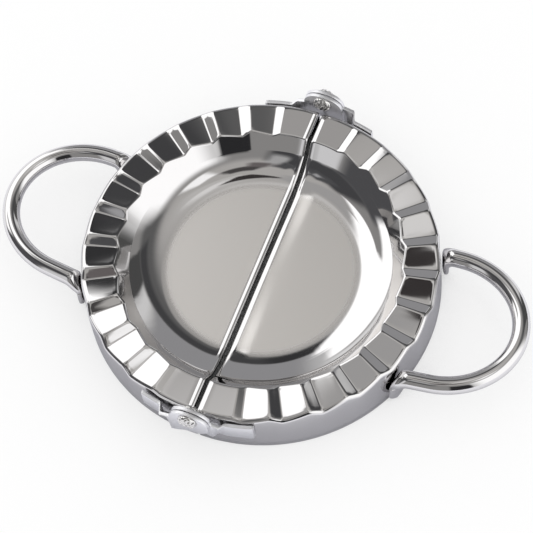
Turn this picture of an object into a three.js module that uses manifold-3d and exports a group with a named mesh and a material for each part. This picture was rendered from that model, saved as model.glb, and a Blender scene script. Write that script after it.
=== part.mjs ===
// Hinged ravioli mould: two stamped steel half bowls with toothed rims that fold face to face.
// Millimetres, +Z up. The origin is at the middle of the mould on the plane of the cutting edge,
// and the fold axis runs along Y over it.
import * as THREE from 'three';
import { mergeVertices } from 'three/addons/utils/BufferGeometryUtils.js';
import Module from 'manifold-3d';

const wasm = await Module();
wasm.setup();

const degree = Math.PI / 180;

// Sheet and overall height of a half
const sheetThickness = 0.6;
const rimHeight = 15.8;
const slitHalfWidth = 0.45;

// Toothed rim, around the mean plane of the rim. Its width and what follows are counted inwards.
const rimOuterRadius = 48.7;
const rimWidth = 9.9;
const toothRise = 0.56;
const toothOuterStep = 0.28;
const toothInnerStep = 0.55;
const toothCount = 12;
const hingeTileAngle = 11.3 * degree;
const hingeStripAngle = 2.8 * degree;
const stripAngle = 3.9 * degree;

// Bowl inside the rim: a sloping shoulder, a wall that is one arc in section, and a flat floor
const shoulderWidth = 4;
const bowlWallWidth = 9.5;
const bowlWallRadius = 17.5;
const bowlWallSteps = 4;
const bowlDepth = 7.3;

// Skirt that ends in the cutting edge, and the turned edge between rim and skirt
const skirtSpread = 0.35;
const rimEdgeInnerRadius = 0.6;
const rimEdgeSteps = 3;

// Turned-down lip along the slit
const lipInnerRadius = 0.1;
const lipDepth = 0.9;
const lipBendSteps = 3;

// Fold axis and the space that assembled pieces keep
const axisRise = 2.4;
const seatGap = 0.3;
const plateGap = 0.3;
const cutOverrun = 1;

// Hinge leaves: the rear leaf of the right half has the outer ear, and its front leaf the inner
const leafThickness = 1;
const earStandoff = 1.15;
const earHalfWidth = 5.7;
const earHalfHeight = 5.3;
const earDrop = 2.3;
const earSquareness = 2.2;
const earSteps = 14;
const joggleSteps = 3;
const footSteps = 3;
const footRaise = 0.7;
const footHeight = 6.5;
const innerJoggleLength = 3.5;
const innerFootLength = 7.3;
const outerJoggleLength = 4.3;
const outerFootLength = 5.7;

// Rivets
const rivetShankRadius = 1.5;
const rivetHeadBrim = 1.3;
const rivetHeadHeight = 1.5;
const rivetHeadGap = 0.2;
const rivetSides = 24;
const rivetDomeSteps = 3;

// Handles
const rodRadius = 2.5;
const rodDepth = 4.7;
const handleProjection = 24.3;
const handleBendLength = 21.35;
const handleHalfWidth = 19.1;
const handleBendAngle = 88 * degree;
const kneeRadius = 2.8;
const padHalfWidth = 3.2;
const padHalfThickness = 0.9;
const padTipDepth = 14.1;
const padSplay = 13 * degree;
const rodSquareness = 2;
const padSquareness = 3;
const handleSides = 12;
const handleBendSteps = 14;
const kneeSteps = 6;
const padSteps = 6;

// The handles are welded on by hand, so each sits a little askew
const rightHandleShift = 0.5;
const rightHandleTurn = 5.2 * degree;
const leftHandleShift = 1.3;
const leftHandleTurn = -5.5 * degree;

// Values that follow from the sizes above
const rimInnerRadius = rimOuterRadius - rimWidth;
const creaseRadius = rimInnerRadius - shoulderWidth;
const floorRadius = creaseRadius - bowlWallWidth;
const bowlWallSlope = Math.asin(bowlWallWidth / bowlWallRadius);
const skirtFootRadius = rimOuterRadius + skirtSpread;
const rimEdgeRadius = sheetThickness + rimEdgeInnerRadius;
const lipRadius = sheetThickness + lipInnerRadius;
const halfCentre = slitHalfWidth + lipRadius;
const hingeEndAngle = hingeTileAngle + hingeStripAngle;
const tileAngle = (Math.PI - 2 * hingeEndAngle - (toothCount - 1) * stripAngle) / toothCount;
const skirtTopRadius = rimOuterRadius + toothOuterStep;
const skirtTopDepth = toothRise + rimEdgeRadius;
const skirtFlare = (skirtFootRadius - skirtTopRadius) / (rimHeight - skirtTopDepth);
const innerEarDistance = skirtFootRadius + earStandoff + leafThickness / 2;
const outerEarDistance = innerEarDistance + leafThickness + plateGap;
const earCentreRise = axisRise - earDrop;
const footTopDepth = skirtTopDepth - footRaise;
const footBottomDepth = footTopDepth + footHeight;
const rivetHeadRadius = rivetShankRadius + rivetHeadBrim;
const handleReach = halfCentre + skirtFootRadius + handleProjection;
const kneeDepth = rodDepth + kneeRadius;

const mix = (from, to, share) => from + (to - from) * share;
const smooth = (share) => share * share * (3 - 2 * share);

// Outer radius of the skirt at a depth under the rim plane
function skirtRadius(depth) {
  return skirtTopRadius + skirtFlare * (depth - skirtTopDepth);
}

// Closes a soup of triangles into one body with its faces pointing out
function closedGeometry(triangles) {
  const loose = new THREE.BufferGeometry();
  const positions = triangles.flatMap((corner) => [corner.x, corner.y, corner.z]);
  loose.setAttribute('position', new THREE.Float32BufferAttribute(positions, 3));
  const merged = mergeVertices(loose);
  const source = merged.index.array;
  const kept = [];
  for (let start = 0; start < source.length; start += 3) {
    const [first, second, third] = source.slice(start, start + 3);
    if (first !== second && second !== third && third !== first) {
      kept.push(first, second, third);
    }
  }
  merged.setIndex(kept);
  return signedVolume(merged) < 0 ? flipped(merged) : merged;
}

function signedVolume(geometry) {
  const position = geometry.getAttribute('position');
  const corners = [new THREE.Vector3(), new THREE.Vector3(), new THREE.Vector3()];
  let total = 0;
  for (let start = 0; start < geometry.index.count; start += 3) {
    corners.forEach((corner, place) => {
      corner.fromBufferAttribute(position, geometry.index.getX(start + place));
    });
    total += corners[0].dot(corners[1].clone().cross(corners[2]));
  }
  return total;
}

function flipped(geometry) {
  const source = geometry.index.array;
  const turned = [];
  for (let start = 0; start < source.length; start += 3) {
    turned.push(source[start], source[start + 2], source[start + 1]);
  }
  geometry.setIndex(turned);
  return geometry;
}

function quad(triangles, first, second, third, fourth) {
  triangles.push(first, second, third, first, third, fourth);
}

// A closed body through rings that all have the same number of points
function loft(rings) {
  const triangles = [];
  const count = rings[0].length;
  for (let row = 0; row + 1 < rings.length; row += 1) {
    for (let place = 0; place < count; place += 1) {
      const next = (place + 1) % count;
      quad(triangles, rings[row][place], rings[row][next], rings[row + 1][next], rings[row + 1][place]);
    }
  }
  const last = rings[rings.length - 1];
  for (let place = 1; place + 1 < count; place += 1) {
    triangles.push(rings[0][0], rings[0][place + 1], rings[0][place]);
    triangles.push(last[0], last[place], last[place + 1]);
  }
  return closedGeometry(triangles);
}

// Boolean cuts
function toSolid(geometry) {
  const bare = geometry.clone();
  bare.deleteAttribute('normal');
  bare.deleteAttribute('uv');
  const merged = mergeVertices(bare);
  return new wasm.Manifold(new wasm.Mesh({
    numProp: 3,
    vertProperties: new Float32Array(merged.getAttribute('position').array),
    triVerts: new Uint32Array(merged.index.array),
  }));
}

function cutAway(geometry, tool) {
  const mesh = toSolid(geometry).subtract(toSolid(tool)).getMesh();
  const cut = new THREE.BufferGeometry();
  cut.setAttribute('position', new THREE.BufferAttribute(new Float32Array(mesh.vertProperties), 3));
  cut.setIndex(new THREE.BufferAttribute(new Uint32Array(mesh.triVerts), 1));
  return cut;
}

// Section of the stamped sheet at one place on the rim: points on its upper face, from the middle
// of the floor out to the cutting edge. lipShare is how far a point follows the lip at the slit.
function upperSection(wave) {
  const share = wave / toothRise;
  const outer = rimOuterRadius - toothOuterStep * share;
  const inner = rimInnerRadius + toothInnerStep * share;
  const points = [{ radius: 0, height: -bowlDepth, lipShare: 1 }];
  for (let step = 0; step <= bowlWallSteps; step += 1) {
    const turn = bowlWallSlope * step / bowlWallSteps;
    const radius = floorRadius + bowlWallRadius * Math.sin(turn);
    const height = bowlWallRadius * (1 - Math.cos(turn)) - bowlDepth;
    points.push({ radius, height, lipShare: 1 });
  }
  points.push({ radius: inner, height: wave, lipShare: 1 });
  const edgeCentre = outer - rimEdgeRadius;
  const skirtTilt = Math.atan2(skirtFootRadius - outer, rimHeight - rimEdgeRadius);
  for (let step = 0; step <= rimEdgeSteps; step += 1) {
    const turn = (Math.PI / 2 - skirtTilt) * step / rimEdgeSteps;
    const radius = edgeCentre + rimEdgeRadius * Math.sin(turn);
    const height = wave - rimEdgeRadius + rimEdgeRadius * Math.cos(turn);
    points.push({ radius, height, lipShare: 1 });
  }
  points.push({ radius: skirtFootRadius, height: -rimHeight, lipShare: 0 });
  return points;
}

// The same section's lower face, one sheet thickness away along the section's normals
function lowerSection(upper) {
  const last = upper.length - 1;
  return upper.map((point, place) => {
    if (place === 0) {
      return { ...point, height: point.height - sheetThickness };
    }
    const before = upper[place - 1];
    const inRun = Math.hypot(point.radius - before.radius, point.height - before.height);
    const inNormal = {
      radius: (point.height - before.height) / inRun,
      height: (before.radius - point.radius) / inRun,
    };
    if (place === last) {
      return { ...point, radius: point.radius + sheetThickness / inNormal.radius };
    }
    const after = upper[place + 1];
    const outRun = Math.hypot(after.radius - point.radius, after.height - point.height);
    const outNormal = {
      radius: (after.height - point.height) / outRun,
      height: (point.radius - after.radius) / outRun,
    };
    const spread = 1 + inNormal.radius * outNormal.radius + inNormal.height * outNormal.height;
    const radius = point.radius + sheetThickness * (inNormal.radius + outNormal.radius) / spread;
    const height = point.height + sheetThickness * (inNormal.height + outNormal.height) / spread;
    return { ...point, radius, height };
  });
}

// Angles round a half, from its front end to its rear end, with the rim's rise at each
function rimColumns() {
  const columns = [];
  let angle = 0;
  const advance = (step, wave) => {
    angle += step;
    columns.push({ angle, wave });
  };
  advance(0, 0);
  advance(hingeTileAngle / 2, 0);
  advance(hingeTileAngle / 2, 0);
  for (let tooth = 0; tooth < toothCount; tooth += 1) {
    advance(tooth === 0 ? hingeStripAngle : stripAngle, toothRise);
    advance(tileAngle / 2, 0);
    advance(tileAngle / 2, -toothRise);
  }
  advance(hingeStripAngle, 0);
  advance(hingeTileAngle / 2, 0);
  advance(hingeTileAngle / 2, 0);
  return columns;
}

// A section swung to its angle on the left half
function raySection(column) {
  const upper = upperSection(column.wave);
  const place = (point) => new THREE.Vector3(
    -halfCentre - point.radius * Math.sin(column.angle),
    -point.radius * Math.cos(column.angle),
    rimHeight + point.height,
  );
  return { upper: upper.map(place), lower: lowerSection(upper).map(place) };
}

// A row of the lip between the half's last full section and its cut edge. The sheet turns down
// there, but the skirt runs straight on.
function lipSection(side, row) {
  const upper = upperSection(0);
  const turn = Math.min(row / lipBendSteps, 1) * Math.PI / 2;
  const straight = row > lipBendSteps ? lipDepth : 0;
  const rowShare = row / (lipBendSteps + 1);
  const place = (bend) => (point) => {
    const turned = bend * Math.sin(turn);
    const drop = bend * (1 - Math.cos(turn)) + straight;
    return new THREE.Vector3(
      -halfCentre + mix(lipRadius * rowShare, turned, point.lipShare),
      side * point.radius,
      rimHeight + point.height - drop * point.lipShare,
    );
  };
  return {
    upper: upper.map(place(lipRadius)),
    lower: lowerSection(upper).map(place(lipRadius - sheetThickness)),
  };
}

// One stamped half: floor, bowl wall, toothed rim, skirt and slit lip in a single sheet
function mouldHalfGeometry() {
  const lipRows = lipBendSteps + 1;
  const sections = [];
  for (let row = lipRows; row > 0; row -= 1) {
    sections.push(lipSection(-1, row));
  }
  rimColumns().forEach((column) => sections.push(raySection(column)));
  for (let row = 1; row <= lipRows; row += 1) {
    sections.push(lipSection(1, row));
  }
  const triangles = [];
  const last = sections[0].upper.length - 1;
  for (let index = 0; index + 1 < sections.length; index += 1) {
    const here = sections[index];
    const next = sections[index + 1];
    for (let place = 0; place < last; place += 1) {
      quad(triangles, here.upper[place], here.upper[place + 1], next.upper[place + 1], next.upper[place]);
      quad(triangles, here.lower[place], next.lower[place], next.lower[place + 1], here.lower[place + 1]);
    }
    quad(triangles, here.upper[last], here.lower[last], next.lower[last], next.upper[last]);
  }
  const front = sections[0];
  const rear = sections[sections.length - 1];
  for (let place = 0; place < last; place += 1) {
    quad(triangles, front.upper[place], front.lower[place], front.lower[place + 1], front.upper[place + 1]);
    quad(triangles, rear.upper[place], rear.upper[place + 1], rear.lower[place + 1], rear.lower[place]);
  }
  return closedGeometry(triangles);
}

// Half height of the ear at a distance along X from the fold axis
function earHalfHeightAt(along) {
  const share = Math.min(Math.abs(along) / earHalfWidth, 1);
  return earHalfHeight * (1 - share ** earSquareness) ** (1 / earSquareness);
}

// Four corners of a leaf's section where it lies flat in the plane of its ear
function earCorners(distance, along, top, bottom) {
  const near = distance - leafThickness / 2;
  const far = distance + leafThickness / 2;
  return [
    new THREE.Vector3(along, far, rimHeight + top),
    new THREE.Vector3(along, near, rimHeight + top),
    new THREE.Vector3(along, near, rimHeight + bottom),
    new THREE.Vector3(along, far, rimHeight + bottom),
  ];
}

// Four corners of a leaf's section where it lies on the skirt of the right half
function footCorners(along) {
  const seat = (depth, lift) => {
    const radius = skirtRadius(depth) + seatGap + lift;
    const sideways = along - halfCentre;
    return new THREE.Vector3(along, Math.sqrt(radius * radius - sideways * sideways), rimHeight - depth);
  };
  return [
    seat(footTopDepth, leafThickness),
    seat(footTopDepth, 0),
    seat(footBottomDepth, 0),
    seat(footBottomDepth, leafThickness),
  ];
}

// A hinge leaf of the right half at its rear end: ear, outward joggle and curved foot in one strip
function leafGeometry(distance, joggleLength, footLength) {
  const joggleReach = earHalfWidth + joggleLength;
  const footReach = joggleReach + footLength;
  const rings = [];
  for (let step = 0; step <= earSteps; step += 1) {
    const along = -earHalfWidth * Math.cos(Math.PI * step / earSteps);
    const rise = earHalfHeightAt(along);
    const carry = Math.max(along, 0) / earHalfWidth;
    const freeBottom = earCentreRise - rise;
    const armBottom = mix(earCentreRise - earHalfHeight, -footBottomDepth, smooth(carry));
    const bottom = along > 0 ? armBottom : freeBottom;
    rings.push(earCorners(distance, along, earCentreRise + rise, bottom));
  }
  const earEnd = rings[rings.length - 1];
  const footStart = footCorners(joggleReach);
  for (let step = 1; step < joggleSteps; step += 1) {
    const share = step / joggleSteps;
    rings.push(earEnd.map((corner, place) => new THREE.Vector3(
      mix(corner.x, footStart[place].x, share),
      mix(corner.y, footStart[place].y, smooth(share)),
      mix(corner.z, footStart[place].z, share),
    )));
  }
  for (let step = 0; step <= footSteps; step += 1) {
    rings.push(footCorners(mix(joggleReach, footReach, step / footSteps)));
  }
  const hole = new THREE.CylinderGeometry(
    rivetShankRadius + plateGap,
    rivetShankRadius + plateGap,
    leafThickness + 2 * cutOverrun,
    rivetSides,
  );
  hole.translate(0, distance, rimHeight + axisRise);
  return cutAway(loft(rings), hole);
}

// A peened rivet through both ears: its heads stand a little off the plates
function rivetGeometry() {
  const inner = innerEarDistance - leafThickness / 2 - rivetHeadGap;
  const outer = outerEarDistance + leafThickness / 2 + rivetHeadGap;
  const dome = (base, direction) => {
    const points = [];
    for (let step = 0; step < rivetDomeSteps; step += 1) {
      const turn = Math.PI / 2 * step / rivetDomeSteps;
      const along = base + direction * rivetHeadHeight * Math.sin(turn);
      points.push(new THREE.Vector2(rivetHeadRadius * Math.cos(turn), along));
    }
    points.push(new THREE.Vector2(0, base + direction * rivetHeadHeight));
    return points;
  };
  const profile = [
    ...dome(inner, -1).reverse(),
    new THREE.Vector2(rivetShankRadius, inner),
    new THREE.Vector2(rivetShankRadius, outer),
    ...dome(outer, 1),
  ];
  const lathe = new THREE.LatheGeometry(profile, rivetSides);
  lathe.deleteAttribute('normal');
  lathe.deleteAttribute('uv');
  lathe.translate(0, 0, rimHeight + axisRise);
  const position = lathe.getAttribute('position');
  const corners = [];
  for (let place = 0; place < lathe.index.count; place += 1) {
    corners.push(new THREE.Vector3().fromBufferAttribute(position, lathe.index.getX(place)));
  }
  return closedGeometry(corners);
}

// Distance of the middle of a handle's pad from the centre of its half, at a depth under the rim
function padSeatRadius(depth) {
  return skirtRadius(depth) + seatGap + padHalfThickness;
}

// Stations along half of a right-hand handle, from its middle to the tip of the pad on one side.
// Each has its place, its heading, the direction that was up on the rod, and its half sizes.
function handleStations(side, shift, turn) {
  const stations = [];
  const up = new THREE.Vector3(0, 0, 1);
  const bendCentre = new THREE.Vector2(handleReach - handleBendLength, 0);
  const add = (place, heading, upright, flatShare, halfWidth) => stations.push({
    place,
    upright,
    flatShare,
    halfWidth,
    across: new THREE.Vector3().crossVectors(heading, upright).multiplyScalar(side),
  });
  let place;
  let heading;
  for (let step = 0; step <= handleBendSteps; step += 1) {
    const angle = handleBendAngle * step / handleBendSteps;
    const flat = new THREE.Vector2(
      bendCentre.x + handleBendLength * Math.cos(angle),
      side * handleHalfWidth * Math.sin(angle),
    ).rotateAround(bendCentre, turn);
    place = new THREE.Vector3(flat.x, flat.y + shift, rimHeight - rodDepth);
    heading = new THREE.Vector3(
      -handleBendLength * Math.sin(angle),
      side * handleHalfWidth * Math.cos(angle),
      0,
    ).normalize().applyAxisAngle(up, turn);
    add(place, heading, up, 0, rodRadius);
  }
  const seat = padSeatRadius(kneeDepth);
  const fromCentre = new THREE.Vector3(place.x - halfCentre, place.y, 0);
  const ahead = -fromCentre.dot(heading);
  const legRun = ahead - Math.sqrt(ahead ** 2 - fromCentre.lengthSq() + seat ** 2);
  const kneeStart = place.clone().addScaledVector(heading, legRun - kneeRadius);
  add(kneeStart, heading, up, 0, rodRadius);
  const meeting = fromCentre.clone().addScaledVector(heading, legRun);
  const seatAngle = Math.atan2(meeting.y, meeting.x);
  const outwardAt = (angle) => new THREE.Vector3(Math.cos(angle), Math.sin(angle), 0);
  for (let step = 1; step <= kneeSteps; step += 1) {
    const bend = Math.PI / 2 * step / kneeSteps;
    const flatShare = smooth(step / kneeSteps);
    const inward = heading.clone().lerp(outwardAt(seatAngle).negate(), flatShare).normalize();
    const kneePlace = kneeStart.clone()
      .addScaledVector(heading, kneeRadius * Math.sin(bend))
      .addScaledVector(up, kneeRadius * (Math.cos(bend) - 1));
    const upright = up.clone().multiplyScalar(Math.cos(bend)).addScaledVector(inward, Math.sin(bend));
    const downward = inward.clone().multiplyScalar(Math.cos(bend)).addScaledVector(up, -Math.sin(bend));
    add(kneePlace, downward, upright, flatShare, mix(rodRadius, padHalfWidth, flatShare));
  }
  const padLength = (padTipDepth - kneeDepth) / Math.cos(padSplay);
  for (let step = 1; step <= padSteps; step += 1) {
    const along = padLength * Math.sin(Math.PI / 2 * step / (padSteps + 1 / 2));
    const depth = kneeDepth + along * Math.cos(padSplay);
    const angle = seatAngle + side * along * Math.sin(padSplay) / seat;
    const outward = outwardAt(angle);
    const aside = new THREE.Vector3(-outward.y, outward.x, 0);
    const padPlace = outward.clone().multiplyScalar(padSeatRadius(depth));
    padPlace.x += halfCentre;
    padPlace.z = rimHeight - depth;
    const padHeading = up.clone().multiplyScalar(-Math.cos(padSplay))
      .addScaledVector(aside, side * Math.sin(padSplay));
    const roundShare = Math.max(0, (along - padLength) / padHalfWidth + 1);
    const halfWidth = padHalfWidth * Math.sqrt(1 - roundShare ** 2);
    add(padPlace, padHeading, outward.clone().negate(), 1, halfWidth);
  }
  return stations;
}

// Section of a handle at a station: round on the rod, flat and wide on the pad
function handleRing(station) {
  const halfThickness = mix(rodRadius, padHalfThickness, station.flatShare);
  const squareness = mix(rodSquareness, padSquareness, station.flatShare);
  const reachOf = (value) => Math.sign(value) * Math.abs(value) ** (2 / squareness);
  const ring = [];
  for (let side = 0; side < handleSides; side += 1) {
    const turn = 2 * Math.PI * side / handleSides;
    ring.push(station.place.clone()
      .addScaledVector(station.across, station.halfWidth * reachOf(Math.cos(turn)))
      .addScaledVector(station.upright, halfThickness * reachOf(Math.sin(turn))));
  }
  return ring;
}

// A bent rod handle, with each end turned down and flattened into a pad against the skirt
function handleGeometry(shift, turn) {
  const [front, rear] = [-1, 1].map((side) => handleStations(side, shift, turn).map(handleRing));
  return loft([...front.slice(1).reverse(), ...rear]);
}

// Materials
const polishedSteel = new THREE.MeshStandardMaterial({ color: 0xc4c3c6, roughness: 0.12, metalness: 1 });
const plainSteel = new THREE.MeshStandardMaterial({ color: 0xb9b9bf, roughness: 0.28, metalness: 1 });

// Assembly: the left side's shapes are the right side's, turned half a turn about Z
const mould = new THREE.Group();

function addPair(shape, material, rightName, leftName, leftShape = shape) {
  const right = new THREE.Mesh(shape, material);
  right.name = rightName;
  const left = new THREE.Mesh(leftShape, material);
  left.name = leftName;
  left.rotation.z = Math.PI;
  mould.add(right, left);
}

// The right half's front leaf is made as a rear one and mirrored across the XZ plane
function mirroredFront(geometry) {
  const front = geometry.clone();
  front.scale(1, -1, 1);
  return flipped(front);
}

const leftHalf = mouldHalfGeometry();
const rightHalf = leftHalf.clone().rotateZ(Math.PI);
addPair(rightHalf, polishedSteel, 'right_mould_half', 'left_mould_half');
const rightHandle = handleGeometry(rightHandleShift, rightHandleTurn);
const leftHandle = handleGeometry(leftHandleShift, leftHandleTurn);
addPair(rightHandle, polishedSteel, 'right_handle', 'left_handle', leftHandle);

const outerLeaf = leafGeometry(outerEarDistance, outerJoggleLength, outerFootLength);
const innerLeaf = leafGeometry(innerEarDistance, innerJoggleLength, innerFootLength);
addPair(outerLeaf, plainSteel, 'right_rear_hinge_leaf', 'left_front_hinge_leaf');
addPair(mirroredFront(innerLeaf), plainSteel, 'right_front_hinge_leaf', 'left_rear_hinge_leaf');
addPair(rivetGeometry(), plainSteel, 'rear_rivet', 'front_rivet');

export default mould;
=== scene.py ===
# Looks of a hinged ravioli mould: fine sheet, rod, strip and rivet meshes in polished steel,
# on a white floor in a studio of softboxes, flags and walls. Shapes are written in millimetres
# and scaled to metres when their meshes are made. Depths and rises count from the rim's plane.
import math
from collections import namedtuple

import bmesh
import bpy
import numpy as np
from mathutils import Matrix, Vector


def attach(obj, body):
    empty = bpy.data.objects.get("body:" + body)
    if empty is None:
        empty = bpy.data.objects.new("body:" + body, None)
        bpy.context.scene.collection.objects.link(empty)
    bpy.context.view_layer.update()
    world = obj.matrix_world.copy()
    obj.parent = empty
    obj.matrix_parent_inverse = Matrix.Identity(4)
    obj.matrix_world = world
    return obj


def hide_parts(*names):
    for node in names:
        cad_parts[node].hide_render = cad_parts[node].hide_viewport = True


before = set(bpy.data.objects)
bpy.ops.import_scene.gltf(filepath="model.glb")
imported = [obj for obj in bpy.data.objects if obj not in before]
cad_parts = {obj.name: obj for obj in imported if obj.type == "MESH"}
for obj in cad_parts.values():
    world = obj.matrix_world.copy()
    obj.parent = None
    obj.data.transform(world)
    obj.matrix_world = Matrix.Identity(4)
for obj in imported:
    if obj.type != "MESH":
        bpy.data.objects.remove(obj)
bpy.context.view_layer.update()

MM = 0.001

# Sizes of the stamped halves, as the solids have them. The round parts of each half have their
# centre a little aside from the slit.
SHEET = 0.6
SLIT_HALF_WIDTH = 0.45
HALF_CENTRE = 1.15
RIM_HEIGHT = 15.8
RIM_OUTER = 48.7
RIM_INNER = 38.8
RIM_EDGE = 1.2
SKIRT_FOOT = 49.05
CREASE_RADIUS = 34.8
FLOOR_RADIUS = 25.3
BOWL_DEPTH = 7.3
WALL_RADIUS = 17.5
WALL_SLOPE = math.asin((CREASE_RADIUS - FLOOR_RADIUS) / WALL_RADIUS)
CREASE_DEPTH = BOWL_DEPTH - WALL_RADIUS * (1 - math.cos(WALL_SLOPE))

# The rim's teeth: how far a crest rises over the plane and a valley lies under it, how far the
# rim's two edges move in at a crest, and the angles of broad tiles and narrow strips
TOOTH_COUNT = 12
TOOTH_RISE = 0.56
TOOTH_OUTER_STEP = 0.28
TOOTH_INNER_STEP = 0.55
HINGE_TILE = math.radians(11.3)
HINGE_STRIP = math.radians(2.8)
STRIP = math.radians(3.9)
TILE = (math.pi - 2 * (HINGE_TILE + HINGE_STRIP) - (TOOTH_COUNT - 1) * STRIP) / TOOTH_COUNT

# Skirt surface
SKIRT_TOP = RIM_OUTER + TOOTH_OUTER_STEP
SKIRT_TOP_DEPTH = TOOTH_RISE + RIM_EDGE
SKIRT_FLARE = (SKIRT_FOOT - SKIRT_TOP) / (RIM_HEIGHT - SKIRT_TOP_DEPTH)

# Lips along the slit, from the sheet to the cut edge: each part's length, the slope it ends
# at (downwards, in degrees) and its steps. The left lip is a bead and the right one a roll.
LIPS = {
    "left": ((0.19, -11, 2), (0.45, -11, 1), (1.32, 90, 12), (0.5, 90, 1)),
    "right": ((1.44, 33, 8), (0.62, 90, 5), (0.5, 90, 1)),
}
# How far inwards the sheet is drawn aside for the lips
LIP_BLEND = 6.85

# The floor beside the slit, bent down a little towards it: how deep and how wide, how far past
# the floor's edge it ends, and how much of it is there halfway along the slit
FLOOR_DIP = {"left": 0.0, "right": 0.34}
DIP_WIDTH = 4.4
DIP_MARGIN = 3
DIP_FADE = 4
DIP_MIDDLE_SHARE = 0.35
DIP_FULL_FROM = 18

# Rounding of the sheet's corners. The rim's edges have rounder teeth than the middle of the
# rim, and a rounding takes at most ROUND_LIMIT of the shorter side.
VALLEY_ROUND = math.radians(0.42)
CREST_ROUND = math.radians(0.7)
EDGE_ROUND_SCALE = 1.9
EDGE_BLEND = 1.1
TILE_SAG = 0.045
SHOULDER_ROUND = 1.0
CREASE_ROUND = 0.9
ROUND_LIMIT = 0.45

# How finely the sheet is drawn
CORNER_STEPS = 4
TILE_STEPS = 6
STRIP_STEPS = 2
FLOOR_STEPS = 10
WALL_STEPS = 20
CREASE_STEPS = 5
SHOULDER_STEPS = 6
BLEND_STEPS = 3
RIM_EDGE_STEPS = 8
SKIRT_STEPS = 6
ANGLE_DIGITS = 7
MERGE_DISTANCE = 0.002

# Hinge leaves: how far out each one's ear is, and how long its joggle and its foot are. The
# inner ear lies next to the skirt and the outer one over it.
Leaf = namedtuple("Leaf", "distance joggle foot")
SEAT_GAP = 0.3
PLATE_GAP = 0.3
EAR_STANDOFF = 1.15
AXIS_RISE = 2.4
LEAF_THICKNESS = 1.0
INNER_EAR = SKIRT_FOOT + EAR_STANDOFF + LEAF_THICKNESS / 2
OUTER_EAR = INNER_EAR + LEAF_THICKNESS + PLATE_GAP
INNER_LEAF = Leaf(INNER_EAR, 3.5, 7.3)
OUTER_LEAF = Leaf(OUTER_EAR, 4.3, 5.7)
EAR_HALF_WIDTH = 5.7
EAR_HALF_HEIGHT = 5.3
EAR_CENTRE_RISE = 0.1
EAR_SQUARENESS = 2.2
FOOT_TOP = 1.06
FOOT_BOTTOM = 7.56
BEND_WIDTH = 1.5
EAR_STEPS = 40
JOGGLE_STEPS = 16
FOOT_STEPS = 10
LEAF_BEVEL = 0.22
LEAF_BEVEL_SEGMENTS = 2
LEAF_BEVEL_ANGLE = math.radians(40)

# Rivets
SHANK = 1.5
HEAD_RADIUS = 2.8
HEAD_HEIGHT = 1.5
HEAD_GAP = 0.2
HEAD_FULLNESS = 3.0
HEAD_TIP = 0.02
DOME_STEPS = 18
RIVET_SIDES = 72

# Hammering of the rivet heads: its depth and how soon it fades in over the seat. Each mark is
# two crossing waves and its share of the depth. A wave is in radians per millimetre across and
# upwards, with its phase.
HEAD_DENT = 0.34
DENT_FADE = 0.45
HAMMER_MARKS = (
    ((2.6, 1.3, 0.7), (-0.8, 2.9, math.pi / 2), 0.62),
    ((5.2, -3.1, 1.9), (2.0, 4.4, 0.0), 0.38),
)
# Unevenness of a head's outline: its share of the radius, its lobes and their phase
OUTLINE_DENT = 0.035
OUTLINE_LOBES = (5, 2)
OUTLINE_PHASE = 0.6

# Handles. Each leg runs in to the skirt, turns down at the knee and ends in a pad.
Station = namedtuple("Station", "place across upright flat half_width")
UP = np.array((0.0, 0.0, 1.0))
ROD = 2.48
ROD_DEPTH = 4.7
HANDLE_REACH = 74.5
BEND_LENGTH = 21.35
BEND_HALF_WIDTH = 19.1
BEND_ANGLE = math.radians(88)
KNEE = 2.8
KNEE_DEPTH = ROD_DEPTH + KNEE
PAD_HALF_WIDTH = 3.2
PAD_HALF_THICKNESS = 0.9
PAD_TIP_DEPTH = 14.1
PAD_SPLAY = math.radians(13)
PAD_SQUARENESS = 3.0
ROUND_SQUARENESS = 2.0
BEND_STEPS = 48
LEG_STEPS = 3
KNEE_STEPS = 20
PAD_STEPS = 24
PAD_STEP_LEFT_OUT = 0.4
HANDLE_SIDES = 40

# How far each handle is welded on askew: its shift along Y and its turn about Z
HANDLE_ASKEW = {"left": (1.3, math.radians(-5.5)), "right": (0.5, math.radians(5.2))}

# Steels: their colours and roughness. The scales of smudges and grain count noise waves per
# metre, and the smudges' dimming and gloss are shares of a steel's own colour and roughness.
MIRROR_STEEL = (0.74, 0.73, 0.73)
MIRROR_ROUGHNESS = 0.045
ROD_ROUGHNESS = 0.06
RIVET_STEEL = (0.74, 0.73, 0.715)
RIVET_ROUGHNESS = 0.09
LEAF_STEEL = (0.88, 0.88, 0.90)
LEAF_ROUGHNESS = 0.4
GRAIN_SCALE = 400.0
GRAIN_DETAIL = 3.0
GRAIN_HEIGHT = 0.02
SMUDGE_SCALE = 60.0
SMUDGE_DETAIL = 4.0
SMUDGE_DIM = 0.97
SMUDGE_GLOSS = (0.8, 1.25)

# The satin of the bowl's floor, a little warmer than the mirror steel. It fades out round the
# floor's edge, and towards the lips.
SATIN_STEEL = (0.81, 0.783, 0.752)
SATIN_ROUGHNESS = 0.34
SATIN_RADII = (FLOOR_RADIUS + 2.5, FLOOR_RADIUS - 1.5)
SATIN_FROM_SLIT = (1.9, 2.7)

# Camera, with its place fitted to the photo's rim
CAMERA_AZIMUTH = math.radians(29.43)
CAMERA_ELEVATION = math.radians(63.33)
CAMERA_ROLL = math.radians(-9.2)
CAMERA_DISTANCE = 586.76
CAMERA_LENS = 143.75
CLIP_NEAR = 0.01
CLIP_FAR = 10
SENSOR_WIDTH = 36.0
PHOTO_SIZE = 533.0
PHOTO_CENTRE = PHOTO_SIZE / 2
RIM_CENTRE_PIXEL = (259.43, 256.77)

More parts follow.
